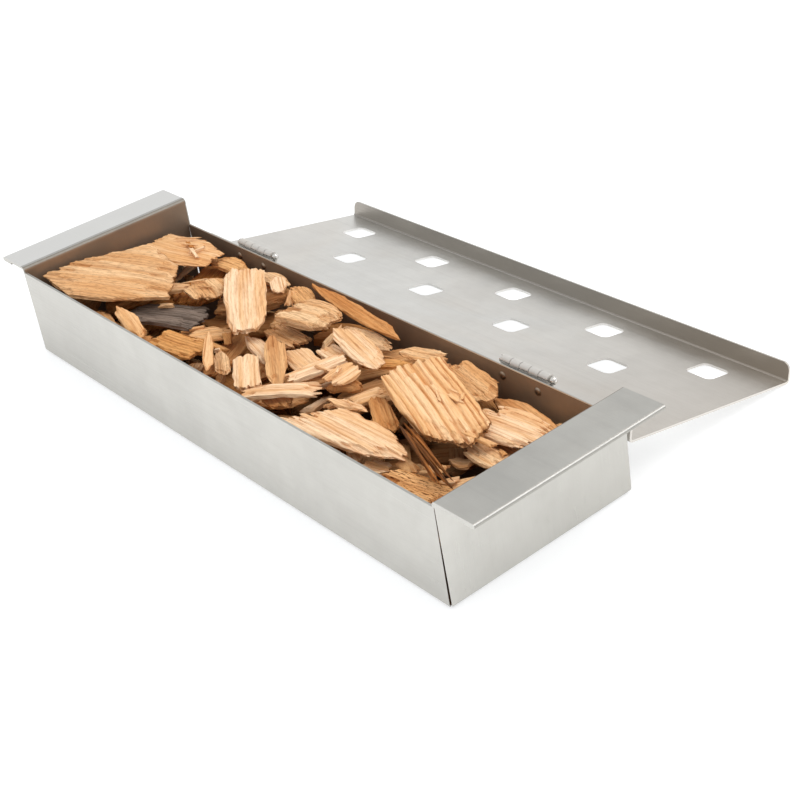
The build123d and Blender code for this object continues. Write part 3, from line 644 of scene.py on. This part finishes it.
class Blank:
    """The flat prism of one chip: its middle, its axes and its outline across the thickness."""

    def __init__(self, points, triangles, plan_grain=None):
        normals = np.cross(triangles[:, 1] - triangles[:, 0], triangles[:, 2] - triangles[:, 0])
        areas = np.linalg.norm(normals, axis=1)
        units = normals / np.maximum(areas, 1e-18)[:, None]
        alike = (np.abs(units @ units.T) > 0.999) @ areas
        up = units[np.argmax(alike)]
        if up[2] < 0:
            up = -up
        first = np.cross(up, (0, 0, 1) if abs(up[2]) < 0.9 else (0, 1, 0))
        first /= np.linalg.norm(first)
        second = np.cross(up, first)
        self.set_grain(np.stack([points @ first, points @ second], 1), first, second)
        if plan_grain is not None:
            wanted = np.array([math.cos(plan_grain), math.sin(plan_grain), 0.0])
            wanted -= up * (wanted @ up)
            self.grain = wanted / np.linalg.norm(wanted)
        self.up = up
        self.across = np.cross(up, self.grain)
        spans = [points @ axis for axis in (self.grain, self.across, up)]
        middles = [(s.min() + s.max()) / 2 for s in spans]
        self.centre = middles[0] * self.grain + middles[1] * self.across + middles[2] * up
        self.length, self.width, self.thickness = (np.ptp(span) for span in spans)
        self.outline = hull(np.stack([spans[0] - middles[0], spans[1] - middles[1]], 1))

    def set_grain(self, flat, first, second):
        """The grain runs along the longer side of the smallest rectangle round the outline."""
        best = None
        for start, end in edges(hull(flat)):
            run = end - start
            if np.linalg.norm(run) < 1e-6:
                continue
            along = run / np.linalg.norm(run)
            side = np.array([-along[1], along[0]])
            length, width = np.ptp(flat @ along), np.ptp(flat @ side)
            if best is None or length * width < best[0]:
                best = (length * width, along if length >= width else side)
        along = best[1]
        if along[0] * first[0] + along[1] * second[0] < 0:
            along = -along
        self.grain = along[0] * first + along[1] * second

    def ends(self, v):
        """Where a line along the grain at v enters and leaves the outline."""
        ring = self.outline
        v = np.clip(v, ring[:, 1].min() * 0.985, ring[:, 1].max() * 0.985)
        low = np.full(v.shape, np.inf)
        high = np.full(v.shape, -np.inf)
        for (u0, v0), (u1, v1) in edges(ring):
            if abs(v1 - v0) < 1e-9:
                continue
            share = (v - v0) / (v1 - v0)
            crossing = u0 + share * (u1 - u0)
            on = (share >= -1e-9) & (share <= 1 + 1e-9)
            low = np.where(on, np.minimum(low, crossing), low)
            high = np.where(on, np.maximum(high, crossing), high)
        return low, high

    def world(self, u, v, w):
        axes = np.stack([self.grain, self.across, self.up])
        return np.stack([u, v, w], -1) @ axes + self.centre


def edges(ring):
    """Each corner of a ring with the next one."""
    return zip(ring, np.roll(ring, -1, axis=0))


def hull(points):
    """Convex outline of flat points, in order."""
    order = sorted({(round(float(x), 7), round(float(y), 7)) for x, y in points})
    ring = []
    for chain in (order, order[::-1]):
        start = len(ring)
        for p in chain:
            while len(ring) >= start + 2:
                (ax, ay), (bx, by) = ring[-2], ring[-1]
                if (bx - ax) * (p[1] - ay) - (by - ay) * (p[0] - ax) > 1e-12:
                    break
                ring.pop()
            ring.append(p)
        ring.pop()
    return np.array(ring)


def blanks(node):
    """One Blank for each separate solid in a CAD node."""
    look = looks.get(node, {})
    mesh = nodes[node].data
    mesh.calc_loop_triangles()
    places = np.array([v.co for v in mesh.vertices], float)
    keys = {}
    same = np.array([keys.setdefault(tuple(np.round(p * 1e6).astype(int)), len(keys)) for p in places])
    merged = np.zeros((len(keys), 3))
    merged[same] = places
    triangles = same[[triangle.vertices[:] for triangle in mesh.loop_triangles]]
    group = np.arange(len(merged))
    before = None
    while before is None or (before != group).any():
        before = group.copy()
        np.minimum.at(group, triangles, group[triangles].min(axis=1)[:, None])
    solids = group[triangles[:, 0]]
    found = []
    for key in np.unique(solids):
        own = triangles[solids == key]
        points = merged[np.unique(own)]
        is_slab = np.ptp(points[:, :2], axis=0).prod() >= look.get("slab_area", 0)
        found.append(Blank(points, merged[own], look.get("plan_grain") if is_slab else None))
    return found


# Light that reaches down between the chips

shade_cell = 1 * mm
shade_blur = 4
shade_start = 3 * mm
shade_depth = 16 * mm
shade_reach_x = (-40 * mm, 70 * mm)
shade_reach = (0.4, 1.35)


class HeapShade:
    """How deep a place lies below the heap's mean surface round it, from 0 on top to 1 far down."""

    def __init__(self, all_blanks, low, high):
        self.low = np.array(low[:2])
        spans = [np.arange(int((high[i] - low[i]) / shade_cell) + 1) for i in (0, 1)]
        x, y = np.meshgrid(*(low[i] + shade_cell * spans[i] for i in (0, 1)), indexing="ij")
        self.plan = np.stack([x, y], -1)
        self.top = np.full(x.shape, low[2])
        self.loose = np.zeros(x.shape, bool)
        for entry in all_blanks:
            self.add(*entry)
        kernel = np.hanning(2 * shade_blur + 3)[1:-1]
        kernel /= kernel.sum()
        self.mean = np.pad(self.top, shade_blur, mode="edge")
        for axis in (0, 1):
            self.mean = np.apply_along_axis(np.convolve, axis, self.mean, kernel, mode="valid")

    def add(self, blank, loose=True):
        """Lays one blank on the map of the heap's upper surface."""
        face = blank.centre + blank.up * blank.thickness / 2
        x, y = self.plan[..., 0], self.plan[..., 1]
        z = face[2] - ((x - face[0]) * blank.up[0] + (y - face[1]) * blank.up[1]) / blank.up[2]
        flat = np.stack([x, y, z], -1) - face
        u, v = flat @ blank.grain, flat @ blank.across
        inside = z > self.top
        for (u0, v0), (u1, v1) in edges(blank.outline):
            inside &= (u1 - u0) * (v - v0) - (v1 - v0) * (u - u0) >= 0
        self.top = np.where(inside, z, self.top)
        self.loose = np.where(inside, loose, self.loose)

    def cells(self, points):
        found = np.round((points[:, :2] - self.low) / shade_cell).astype(int)
        found = np.clip(found, 0, np.array(self.mean.shape) - 1)
        return found[:, 0], found[:, 1]

    def at(self, points):
        shade = np.clip((self.mean[self.cells(points)] - points[:, 2] - shade_start) / shade_depth, 0, 1)
        return np.minimum(shade * np.interp(points[:, 0], shade_reach_x, shade_reach), 1)

    def surface(self, points):
        return self.top[self.cells(points)]

    def mean_at(self, point):
        return self.mean[self.cells(point[None])][0]

    def gap(self, point):
        """How far the heap's surface lies below its mean here."""
        return self.mean_at(point) - self.surface(point[None])[0]

    def on_loose_chips(self, points):
        return self.loose[self.cells(points)].all()


# Split wood

shaded_wood = linear(78, 46, 18)
wood_roughness = 0.80
fibre_depth = 0.5 * mm
grain_step = (0.37, 0.11, 0.05)  # from one chip's place in the wood's patterns to the next
sharp_edge = math.radians(40)


def box_lattice(nu, nv, nw):
    """Places from -1 to 1 and quads of a box's surface, cut nu, nv and nw times along its sides."""
    index = {}
    quads = []

    def at(*cell):
        return index.setdefault(cell, len(index))

    # For each axis: where its two sides lie, and which way round their corners go
    for axis, sides in ((2, ((nw, 1), (0, -1))), (1, ((0, 1), (nv, -1))), (0, ((0, -1), (nu, 1)))):
        for i, j in np.ndindex(*np.delete((nu, nv, nw), axis)):
            ring = ((i, j), (i + 1, j), (i + 1, j + 1), (i, j + 1))
            for side, way in sides:
                corners = (ring[step * way] for step in range(4))
                quads.append([at(*corner[:axis], side, *corner[axis:]) for corner in corners])
    return 2 * np.array(list(index)) / (nu, nv, nw) - 1, np.array(quads)


def bundle_chance(bundles, side, seed):
    """One number from 0 to 1 for each bundle of fibres and side of the chip."""
    cells = np.stack([np.floor(bundles), np.full(bundles.shape, side), bundles * 0], -1).astype(np.int64)
    return hashed(cells, seed)


def torn_ends(blank, look, v, c, seed):
    """Where each line of fibres begins and ends: bays, and bundles that broke at their own places."""
    low, high = blank.ends(v)
    room = (high - low) * 0.25
    cuts = []
    for side in (0, 1):
        bay = 0.5 + 0.5 * wood_noise(0, v, 0, (1, 6 * mm, 1), seed + side)
        fibre = bundle_chance((v + c * 0.4 * mm) / look["bundle"], side, seed + 3) ** 2
        fine = np.abs(wood_noise(0, v, c * 0.5 * mm, (1, 0.7 * mm, 0.5 * mm), seed + 6 + side))
        cut = look["bite"] * bay + look["jag"] * (fibre + 0.3 * fine)
        cuts.append(np.minimum(cut, room))
    return low + cuts[0] - look["reach"], high - cuts[1] + look["reach"]


def split_chip(blank, look, seed):
    """Mesh of one chip inside its blank: vertices, quads, grain places, how deep each place lies in a
    groove or a broken end, and how rotten it is."""
    nu = int(np.clip(blank.length / look["cell"], 8, 110))
    nv = int(np.clip(blank.width / (look["cell"] * 0.6), 6, 80))
    nw = int(np.clip(blank.thickness / (look["cell"] * 1.2), 3, 7))
    lattice, quads = box_lattice(nu, nv, nw)
    a, b, c = lattice.T
    half_w = blank.thickness / 2

    # Its broken ends and wandering edges
    v = b * blank.width / 2
    low, high = torn_ends(blank, look, v, c, seed)
    u = low + (high - low) * (a + 1) / 2
    broken = np.abs(a) ** 8
    worn = look["worn"] * np.clip((a * np.sign(blank.grain[0]) - 0.80) / 0.15, 0, 1)
    crumbs = wood_noise(u, v, c * half_w, (0.8 * mm, 0.6 * mm, 0.6 * mm), seed + 5, 2)
    u = u + (broken * look["crumble"] + worn * 0.5 * mm) * crumbs
    wave = 0.5 + 0.5 * wood_noise(u, np.sign(b), 0, (9 * mm, 0.37, 1), seed + 7, 2)
    v = v * (look["grow"] - look["side"] * np.clip(wave, 0, 1) * np.abs(b))

    # Half its thickness, less at its ends and edges
    body = half_w * look["thin"]
    body = body * (1 - look["feather"] * np.clip((np.abs(a) - 0.5) / 0.5, 0, 1) ** 2)
    body = body * (1 - 0.35 * np.abs(b) ** 5)
    body = body * (0.86 + 0.14 * wood_noise(u, v, 0, (16 * mm, 7 * mm, 1), seed + 10))

    # Grooves along the grain
    line = (v + 0.2 * look["pitch"] * wood_noise(u, 0, 0, (24 * mm, 1, 1), seed + 8)) / look["pitch"]
    line = line + 0.35 * wood_noise(0, line, 0, (1, 2.3, 1), seed + 12)
    part = np.abs(line - np.floor(line) - 0.5) / (0.5 * look["groove_share"])
    run = 0.65 + 0.6 * wood_noise(u, np.floor(line), 0, (15 * mm, 0.31, 1), seed + 9)
    own = 0.35 + 0.65 * bundle_chance(line, 2, seed + 13)
    own = own + (0.85 - own) * look["even"]
    run = run + (0.95 - run) * look["even"]
    groove = np.clip(1 - part, 0, 1) * own * np.clip(run, 0.1, 1)

    # Layers torn off near its ends
    sheet = np.floor(v / (2.1 * look["bundle"]) + 40)
    tear = 0.50 + 0.75 * bundle_chance(sheet, 4, seed + 16)
    tear = tear + (1 - np.sign(a)) * 0.5 * (bundle_chance(sheet, 5, seed + 18) - 0.3)
    torn = np.clip((np.abs(a) - tear) / 0.05, 0, 1) * look["layer"] * 2 * body
    face = np.abs(c) ** 3
    cut = np.minimum(groove * look["groove"] + torn, body * 0.85)
    w = c * body - np.sign(c) * face * cut

    # Bow and twist, small relief, and pits in a worn end
    room = half_w - np.abs(body).max()
    bend = wood_noise(np.array([0.5, 1.5]), 0, 0, (1, 1, 1), seed + 11)
    w = w + look["cup"] * room * (0.7 * np.sign(bend[0]) * (1 - 2 * a * a) + 0.3 * np.sign(bend[1]) * a * b)
    w = w + 0.14 * mm * wood_noise(u, v, w, (5 * mm, 0.8 * mm, 0.8 * mm), seed + 14, 2)
    pits = np.clip(wood_noise(u, v, w, (1.3 * mm, 1.1 * mm, 1.1 * mm), seed + 19, 2), 0, 1)
    w = w - np.sign(c) * worn * 0.9 * mm * pits
    v = v + 0.3 * mm * np.abs(b) ** 4 * wood_noise(u, 0, w, (5 * mm, 1, 1.2 * mm), seed + 15, 2)

    # What its material reads
    # depth: partly painted shade in the grooves and under torn layers, partly the darker end grain and worn
    # pits
    depth = face * groove * 1.1 + 0.55 * broken * (1 - face) + 0.25 * torn / body
    depth = np.clip(depth + worn * (0.9 * pits + 0.9 * (1 - face)), 0, 1)
    rot = np.clip(worn * (0.55 * pits + 0.6 * (1 - face) + 0.25 * groove), 0, 1)
    return blank.world(u, v, w), quads, np.stack([u, v, w], -1), depth, rot


def mesh_piece(name, parts, material):
    """One object from several chips: each part is vertices, quads, grain places, and its values."""
    places, quads, grains = [], [], []
    values = {"tone": [], "dashes": [], "depth": [], "shade": []}
    start = 0
    for number, (points, faces, grain, own) in enumerate(parts):
        places.append(points)
        quads.append(faces + start)
        grains.append(grain + np.array(grain_step) * (number + 1))
        for key, value in own.items():
            values[key].append(np.broadcast_to(value, len(points)))
        start += len(points)
    places, quads = np.concatenate(places), np.concatenate(quads)
    mesh = bpy.data.meshes.new(name)
    mesh.vertices.add(len(places))
    mesh.vertices.foreach_set("co", places.astype(np.float32).ravel())
    mesh.loops.add(quads.size)
    mesh.loops.foreach_set("vertex_index", quads.astype(np.int32).ravel())
    mesh.polygons.add(len(quads))
    mesh.polygons.foreach_set("loop_start", np.arange(0, quads.size, 4, dtype=np.int32))
    mesh.update(calc_edges=True)
    mesh.validate()
    layer = mesh.attributes.new("grain", "FLOAT_VECTOR", "POINT")
    layer.data.foreach_set("vector", np.concatenate(grains).astype(np.float32).ravel())
    for key, value in values.items():
        layer = mesh.attributes.new(key, "FLOAT", "POINT")
        layer.data.foreach_set("value", np.concatenate(value).astype(np.float32))
    mesh.polygons.foreach_set("use_smooth", np.ones(len(quads), bool))
    mesh.set_sharp_from_angle(angle=sharp_edge)
    mesh.materials.append(material)
    return place_object(name, mesh)


def wood(name, pale, mid, deep, dark, lines=0.5, pores=0.4, fibres=0.42, relief=0.7):
    """Dry split wood: bands, lines and fibres along the grain, darker pores and broken ends, painted shade in
    its grooves, a tone for each chip, and painted shade far down in the heap."""
    material = bpy.data.materials.new(name)
    tree = Tree(material)

    def stored(key, output="Fac"):
        return tree.add("ShaderNodeAttribute", attribute_name=key).outputs[output]

    grain = stored("grain", "Vector")
    band = tree.streaks(grain, (12, 240, 240), (0, 0, 0), 2.0, 0.5, 0.5)
    line = tree.streaks(grain, (26, 1000, 1000), (0.1, 0.4, 0.2), 3.0, 0.6)
    fibre = tree.streaks(grain, (110, 3000, 3000), (0, 0, 0), 3.0, 0.6)
    pore = tree.streaks(grain, (330, 2300, 2300), (0.3, 0.2, 0.7), 2.0, 0.5)
    dash = tree.times(tree.remap(pore, 0.56, 0.62), stored("dashes"))
    base = tree.mix(tree.remap(stored("tone"), 0.25, 0.95), pale, mid)
    for share, colour in (
        (tree.times(tree.remap(band, 0.42, 0.66), 0.60), deep),
        (tree.times(tree.remap(line, 0.50, 0.66), lines), dark),
        (tree.times(tree.remap(fibre, 0.53, 0.66), fibres), dark),
        (tree.times(dash, pores), tuple(v * 0.45 for v in dark)),
        # partly painted shade in the grooves and under torn layers, partly the darker broken ends and worn
        # pits
        (tree.remap(stored("depth"), 0.10, 0.90, 0.0, 0.64), dark),
        (tree.remap(stored("shade"), 0.0, 1.0, 0.0, 0.66), shaded_wood),
    ):
        base = tree.mix(share, base, colour)
    height = tree.plus(tree.times(fibre, 0.4), tree.times(line, 0.6))
    height = tree.minus(height, tree.times(tree.remap(pore, 0.60, 0.68), 0.4))
    normal = tree.bump(height, relief, fibre_depth)
    values = {"Base Color": base, "Roughness": wood_roughness, "Specular IOR Level": 0.2, "Normal": normal}
    tree.add("ShaderNodeOutputMaterial", {"Surface": tree.shader("ShaderNodeBsdfPrincipled", values)})
    return material


def wood_materials():
    cream = linear(246, 215, 178)
    pale = linear(241, 202, 156)
    tan = linear(233, 184, 130)
    gold = linear(224, 164, 98)
    orange = linear(208, 142, 76)
    rust = linear(184, 112, 50)
    brown = linear(148, 86, 36)
    umber = linear(90, 54, 28)
    soot = linear(40, 26, 16)
    bark = (linear(150, 132, 118), linear(122, 104, 92), linear(92, 78, 68), linear(44, 36, 32))
    kinds = {
        "pale_wood": (cream, tan, gold, rust, 0.45, 0.4, 0.30, 0.5),
        "golden_wood": (pale, gold, orange, brown, 0.45, 1.0),
        "orange_wood": (tan, orange, rust, brown, 0.4, 0.3),
        "ridged_wood": (pale, tan, gold, rust, 0.45, 0.3, 0.30, 0.5),
        "dark_wood": (rust, brown, umber, soot, 0.7, 0.4),
        "bark": (*bark, 0.6, 0.5),
    }
    return {name: wood(name, *kind) for name, kind in kinds.items()}


# Splinters, sticks and torn fibres

sliver_sizes_mm = ((8, 19), (1.4, 3.6), (0.8, 1.6))  # length, width and thickness, each from and to
sliver_spread = 0.6     # of a chip's size, round its middle
sliver_step = 3.5 * mm
stick_sizes_mm = ((7, 19), (2.6, 6.5), (1.3, 2.6))
steepest = math.radians(35)
heap_reach_x = 140 * mm
heap_reach_y = 40.5 * mm
gap_tries = 4000
gap_stick_count = 170
gap_depth = 2.4 * mm
gap_overreach = 1 * mm
flake_thickness = 0.9 * mm
splinter_outline = ((-1.0, -0.4), (0.7, -1.0), (1.0, 0.0), (-0.6, 1.0))  # as shares of half its size


class Splinter(Blank):
    """A narrow piece of wood with a blank of its own."""

    def __init__(self, size, centre, grain, up):
        self.length, self.width, self.thickness = size
        self.centre = np.array(centre)
        self.grain = grain
        self.up = up
        self.across = np.cross(up, grain)
        self.outline = np.array(splinter_outline) * (self.length / 2, self.width / 2)


def lay(shade, middle, turn, size, beside_chip):
    """A splinter that lies on the heap's surface, or nothing where it would not rest. One beside a chip
    needs an even place on loose chips, and one in a gap stays near the heap's mean surface."""
    level = np.array([math.cos(turn), math.sin(turn), 0.0])
    spots = np.array([middle - level * size[0] / 2, middle, middle + level * size[0] / 2])
    if np.abs(spots[:, 0]).max() > heap_reach_x or np.abs(spots[:, 1]).max() > heap_reach_y:
        return None
    first, own, last = shade.surface(spots)
    height = max((first + last) / 2, own) + size[2] / 2
    if beside_chip:
        rests = shade.on_loose_chips(spots) and max(abs(first - own), abs(last - own)) <= sliver_step
    else:
        rests = height <= shade.mean_at(middle) + gap_overreach
    pitch = math.atan2(last - first, size[0])
    if not rests or abs(pitch) > steepest:
        return None
    grain = level * math.cos(pitch) + (0, 0, math.sin(pitch))
    up = np.cross(grain, (-level[1], level[0], 0))
    return Splinter(size, (middle[0], middle[1], height), grain, up)


def slivers(blank, look, shade, chance):
    """Splinters that lie on the loose chips beside a chip and follow their slope."""
    made = []
    for _ in range(look["slivers"]):
        size = tuple(chance.uniform(low, high) * mm for low, high in sliver_sizes_mm)
        turn = chance.uniform(-math.pi, math.pi)
        x, y = chance.uniform(-1, 1) * blank.length, chance.uniform(-1, 1) * blank.width
        middle = blank.centre + np.array([x, y, 0]) * sliver_spread
        sliver = lay(shade, middle, turn, size, beside_chip=True)
        if sliver is not None:
            made.append(sliver)
    return made


def gap_sticks(shade, chance):
    """Broken sticks and crumbs that lie in the gaps between the chips."""
    made = []
    for _ in range(gap_tries):
        x = chance.uniform(-heap_reach_x, heap_reach_x)
        y = chance.uniform(-heap_reach_y, heap_reach_y)
        size = tuple(chance.uniform(low, high) * mm for low, high in stick_sizes_mm)
        turn = chance.uniform(-math.pi, math.pi)
        middle = np.array([x, y, 0.0])
        if len(made) == gap_stick_count or shade.gap(middle) < gap_depth:
            continue
        stick = lay(shade, middle, turn, size, beside_chip=False)
        if stick is not None:
            made.append(stick)
            shade.add(stick)
    return made


def turned(grain, up, turn, lift):
    """The grain's and the face's directions after a turn in the face and a lift out of it, in radians."""
    level = grain * math.cos(turn) + np.cross(up, grain) * math.sin(turn)
    return level * math.cos(lift) + up * math.sin(lift), up * math.cos(lift) - level * math.sin(lift)


def flakes(blank, look):
    """Fibres torn up from a chip's upper face."""
    made = []
    for (x, y), length, width, turn, lift in look["flakes"]:
        grain, up = turned(blank.grain, blank.up, math.radians(turn), math.radians(lift))
        shift = np.array([x, y, 0.0]) * mm
        shift -= blank.up * (shift @ blank.up)
        middle = blank.centre + shift + blank.up * blank.thickness * 0.44
        made.append(Splinter((length * mm, width * mm, flake_thickness), middle, grain, up))
    return made


def strands(blank, look, chance):
    """The bundles that a split chip is made of, or the chip itself."""
    count = look["strands"]
    if count == 1:
        return [blank]
    made = []
    for number in range(count):
        grain, up = turned(blank.grain, blank.up, chance.uniform(-0.05, 0.05), 0.0)
        aside = blank.across * ((number + 0.5) / count - 0.5) * blank.width
        along = blank.grain * chance.uniform(-0.06, 0.06) * blank.length
        length = blank.length * chance.uniform(0.8, 0.98)
        thickness = blank.thickness * chance.uniform(0.6, 1.0)
        size = (length, blank.width / count * 1.25, thickness)
        made.append(Splinter(size, blank.centre + aside + along, grain, up))
    return made


# The heap

# The nodes that hold the sticks
loose_nodes = ["small_splinters", "upper_chips", "middle_chips", "lower_chips"]
stick_shade = 0.8

# Seeds of the random draws and of the noise, and steps from one piece's noise to the next
gap_seed = 11
draw_seed = 100
stick_seed = 50000
node_step = 1000
chip_step = 40
member_step = 7


def chip_part(blank, look, seed, tone, shade, share=1.0):
    """One chip's mesh and the values that its material reads."""
    points, quads, grain, depth, rot = split_chip(blank, look, seed)
    # the shade value holds painted shade deep in the heap, and the dark rot of a worn end
    dim = np.maximum(shade.at(points) * share, rot)
    return points, quads, grain, {"tone": tone, "dashes": look["dashes"], "depth": depth, "shade": dim}


def chip_family(blank, look, shade, chance):
    """A chip's strands, torn fibres and slivers, each with its look."""
    bundles = strands(blank, look, chance)
    extras = flakes(blank, look) + slivers(blank, look, shade, chance)
    return [(bundle, look) for bundle in bundles] + [(extra, sliver_look) for extra in extras]


def dress_chips():
    woods = wood_materials()
    own_blanks = {node: blanks(node) for node, slot in slots.items() if slot in woods}
    heap = [(blank, len(found) > 1) for found in own_blanks.values() for blank in found]
    shade = HeapShade(heap, *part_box("tray"))
    sticks = gap_sticks(shade, np.random.default_rng(gap_seed))
    for order, (node, found) in enumerate(own_blanks.items()):
        look = {**plain_look, **looks.get(node, {})}
        chance = np.random.default_rng(draw_seed + order)
        own_sticks = sticks[loose_nodes.index(node)::len(loose_nodes)] if node in loose_nodes else []
        parts = []
        for number, stick in enumerate(own_sticks):
            seed = stick_seed + node_step * order + chip_step * number
            parts.append(chip_part(stick, stick_look, seed, chance.uniform(0, 1), shade, stick_shade))
        for number, blank in enumerate(found):
            seed = node_step * order + chip_step * number
            tone = chance.uniform(*look["tone"])
            for member, (own_blank, own_look) in enumerate(chip_family(blank, look, shade, chance)):
                parts.append(chip_part(own_blank, own_look, seed + member_step * member, tone, shade))
        piece = mesh_piece(f"split_{node}", parts, woods[slots[node]])
        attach(piece, "tray")
        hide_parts(node)


def main():
    bpy.context.scene.view_settings.view_transform = "Standard"
    add_camera()
    add_floor()
    add_world()
    add_lights()
    dress_metal()
    dress_lid()
    dress_chips()


main()
